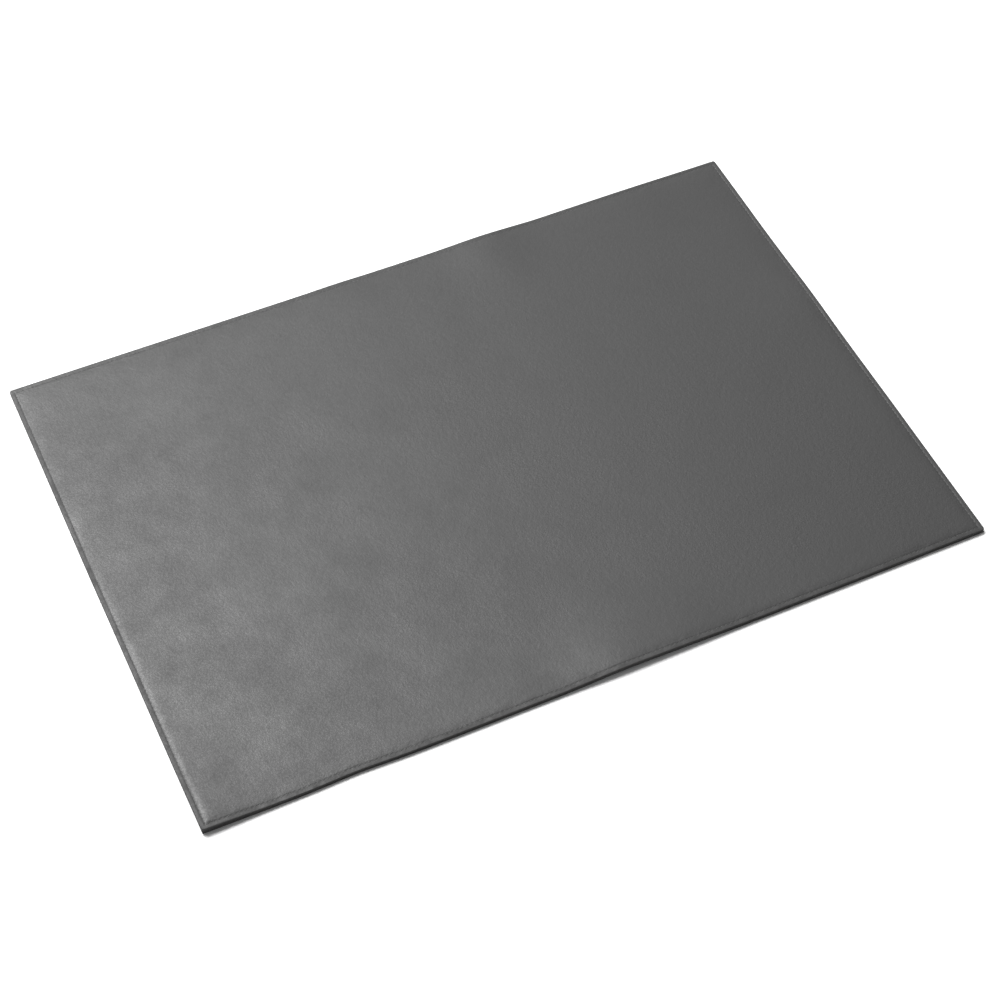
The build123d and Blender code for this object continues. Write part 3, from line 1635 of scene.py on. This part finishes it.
@dataclass(frozen=True)
class PaleFloor(Finish):
    """Plain pale studio floor."""

    mottle_size: float = 0.4

    def dress(self, bench: MaterialBench) -> None:
        """Wires a barely visible variation of the paint.

        Args:
            bench: The material's bench.
        """
        mottle = bench.effect(SharedEffect.MOTTLE, self.mottle_size)
        dark, light = self.shades(0.995, 1.005)
        bench.dress(Base_Color=bench.blend(mottle, dark, light), Roughness=self.roughness)
        bench.shader.inputs["Specular IOR Level"].default_value = 0.1


LEATHER = FullGrainLeather("black_leather", (0.022, 0.022, 0.022), 0.47)
THREAD = SewingThread("black_thread", (0.05, 0.05, 0.05), 0.45)
SUEDE = MattedSheet("suede_backing", (0.016, 0.016, 0.017), 0.95, depth=0.12 * MM, sheen=0.06)
BOARD = MattedSheet("fibre_board", (0.23, 0.19, 0.15), 0.9, fibre_size=3 * MM, depth=0.03 * MM)
INFILL = MattedSheet("kraft_infill", (0.33, 0.22, 0.12), 0.85, fibre_size=2 * MM, depth=0.02 * MM)
FOAM = MattedSheet("foam_skin", (0.10, 0.10, 0.11), 0.92, fibre_size=0.8 * MM, depth=0.05 * MM)
TAPE = WovenTape("cotton_tape", (0.55, 0.53, 0.48), 0.9)
FLOOR = PaleFloor("studio_floor", (0.9, 0.9, 0.9), 0.8)


# ---------------------------------------------------------------- studio


def direction(heading: float, elevation: float) -> Vector:
    """Unit vector at a heading from +X towards +Y and an elevation, both in degrees."""
    h, e = math.radians(heading), math.radians(elevation)
    return Vector((math.cos(h) * math.cos(e), math.sin(h) * math.cos(e), math.sin(e)))


@dataclass
class Studio:
    """Pale floor, soft light and the camera."""

    aim: Vector = field(default_factory=lambda: Vector((-6.66, -39.3, 0.0)) * MM)
    distance: float = 1.8445
    heading: float = 64.51
    elevation: float = 52.27
    roll: float = 0.84
    lens: float = 84.14
    sensor_width: float = 36.0
    floor_size: float = 4.4
    floor_drop: float = 0.05 * MM
    back_heading: float = 95.0
    world_ramp: tuple[float, float] = (0.12, 0.8)
    world_levels: tuple[float, float] = (0.27, 1.52)
    backdrop: float = 1.2
    key_heading: float = 115.0
    key_elevation: float = 60.0
    key_distance: float = 4.2
    key_size: float = 2.2
    key_power: float = 275.0

    def build(self) -> None:
        """Sets up the whole studio."""
        self._floor()
        self._sky()
        self._key()
        self._camera()

    def _floor(self) -> None:
        """Lays the pale floor."""
        bpy.ops.object.select_all(action="DESELECT")
        bpy.ops.mesh.primitive_plane_add(size=self.floor_size)
        floor = name_piece("studio_floor")
        floor.data.transform(Matrix.Translation((0, 0, -self.floor_drop)))
        floor.data.materials.append(FLOOR.material())

    def _sky(self) -> None:
        """Lights the room softly from behind the mat, before a white backdrop."""
        world = bpy.data.worlds.new("studio")
        bpy.context.scene.world = world
        world.use_nodes = True
        background = world.node_tree.nodes["Background"]
        bench = NodeBench(world.node_tree)
        look = bench.add("TexCoord").outputs["Generated"]
        away = direction(self.back_heading, 0.0)
        facing = bench.add("VectorMath", {0: look, 1: away}, operation="DOT_PRODUCT")
        level = bench.span(facing.outputs["Value"], self.world_ramp, self.world_levels)
        seen = bench.add("LightPath").outputs["Is Camera Ray"]
        level = bench.math("MAXIMUM", level, bench.math("MULTIPLY", seen, self.backdrop))
        world.node_tree.links.new(level, background.inputs["Strength"])
        background.inputs["Color"].default_value = (1, 1, 1, 1)

    def _key(self) -> None:
        """Hangs the softbox that faces the mat."""
        lamp = bpy.data.lights.new("key", "AREA")
        lamp.shape = "SQUARE"
        lamp.size = self.key_size
        lamp.energy = self.key_power
        holder = bpy.data.objects.new("key", lamp)
        bpy.context.scene.collection.objects.link(holder)
        away = direction(self.key_heading, self.key_elevation)
        holder.location = away * self.key_distance
        holder.rotation_mode = "QUATERNION"
        holder.rotation_quaternion = away.to_track_quat("Z", "Y")

    def _camera(self) -> None:
        """Places the camera."""
        data = bpy.data.cameras.new("camera")
        data.lens = self.lens
        data.sensor_width = self.sensor_width
        camera = bpy.data.objects.new("camera", data)
        bpy.context.scene.collection.objects.link(camera)
        forward = direction(self.heading, -self.elevation)
        camera.location = self.aim - forward * self.distance
        camera.rotation_mode = "QUATERNION"
        rolled = Matrix.Rotation(math.radians(self.roll), 3, "Z").to_quaternion()
        camera.rotation_quaternion = forward.to_track_quat("-Z", "Y") @ rolled
        bpy.context.scene.camera = camera
        bpy.context.scene.view_settings.view_transform = "Standard"


def main() -> None:
    """Builds the mat piece by piece, then the studio."""
    logging.basicConfig(level=logging.INFO, format="%(name)s: %(message)s")
    plan = MatPlan.from_frame()
    lie = RelaxedLie(plan)

    cover = LeatherCover(plan, lie)
    top = cover.build()
    hand_over(top, Slot.LEATHER, LEATHER.material(), "leather_cover")
    width, depth, area = cover.flat_size()

    needle_level = plan.hem_top + NEEDLE_PROUD
    thread = THREAD.material()
    needle = ThreadRun(plan, lie, "needle_stitches", needle_level, True).build()
    hand_over(needle, Slot.THREAD, thread, "needle_thread")
    bobbin = ThreadRun(plan, lie, "bobbin_stitches", BOBBIN_LEVEL, False).build()
    hand_over(bobbin, Slot.THREAD, thread, "bobbin_thread")

    backing = BackingSheet(plan, lie).build()
    hand_over(backing, Slot.BACKING, SUEDE.material(), "backing_sheet")

    core = Core(plan, lie)
    board = core.build_board()
    hand_over(board, Slot.BOARD, BOARD.material(), "core_board")
    infill = core.build_infill()
    hand_over(infill, Slot.INFILL, INFILL.material(), "infill_sheet")
    foam = core.build_foam()
    hand_over(foam, Slot.FOAM, FOAM.material(), "foam_interlining")
    cotton = TAPE.material()
    for side in Side:
        tape = core.build_tape(side)
        hand_over(tape, Slot.TAPE, cotton, f"edge_tape_{side.name.lower()}")

    Studio().build()


if __name__ == "__main__":
    main()
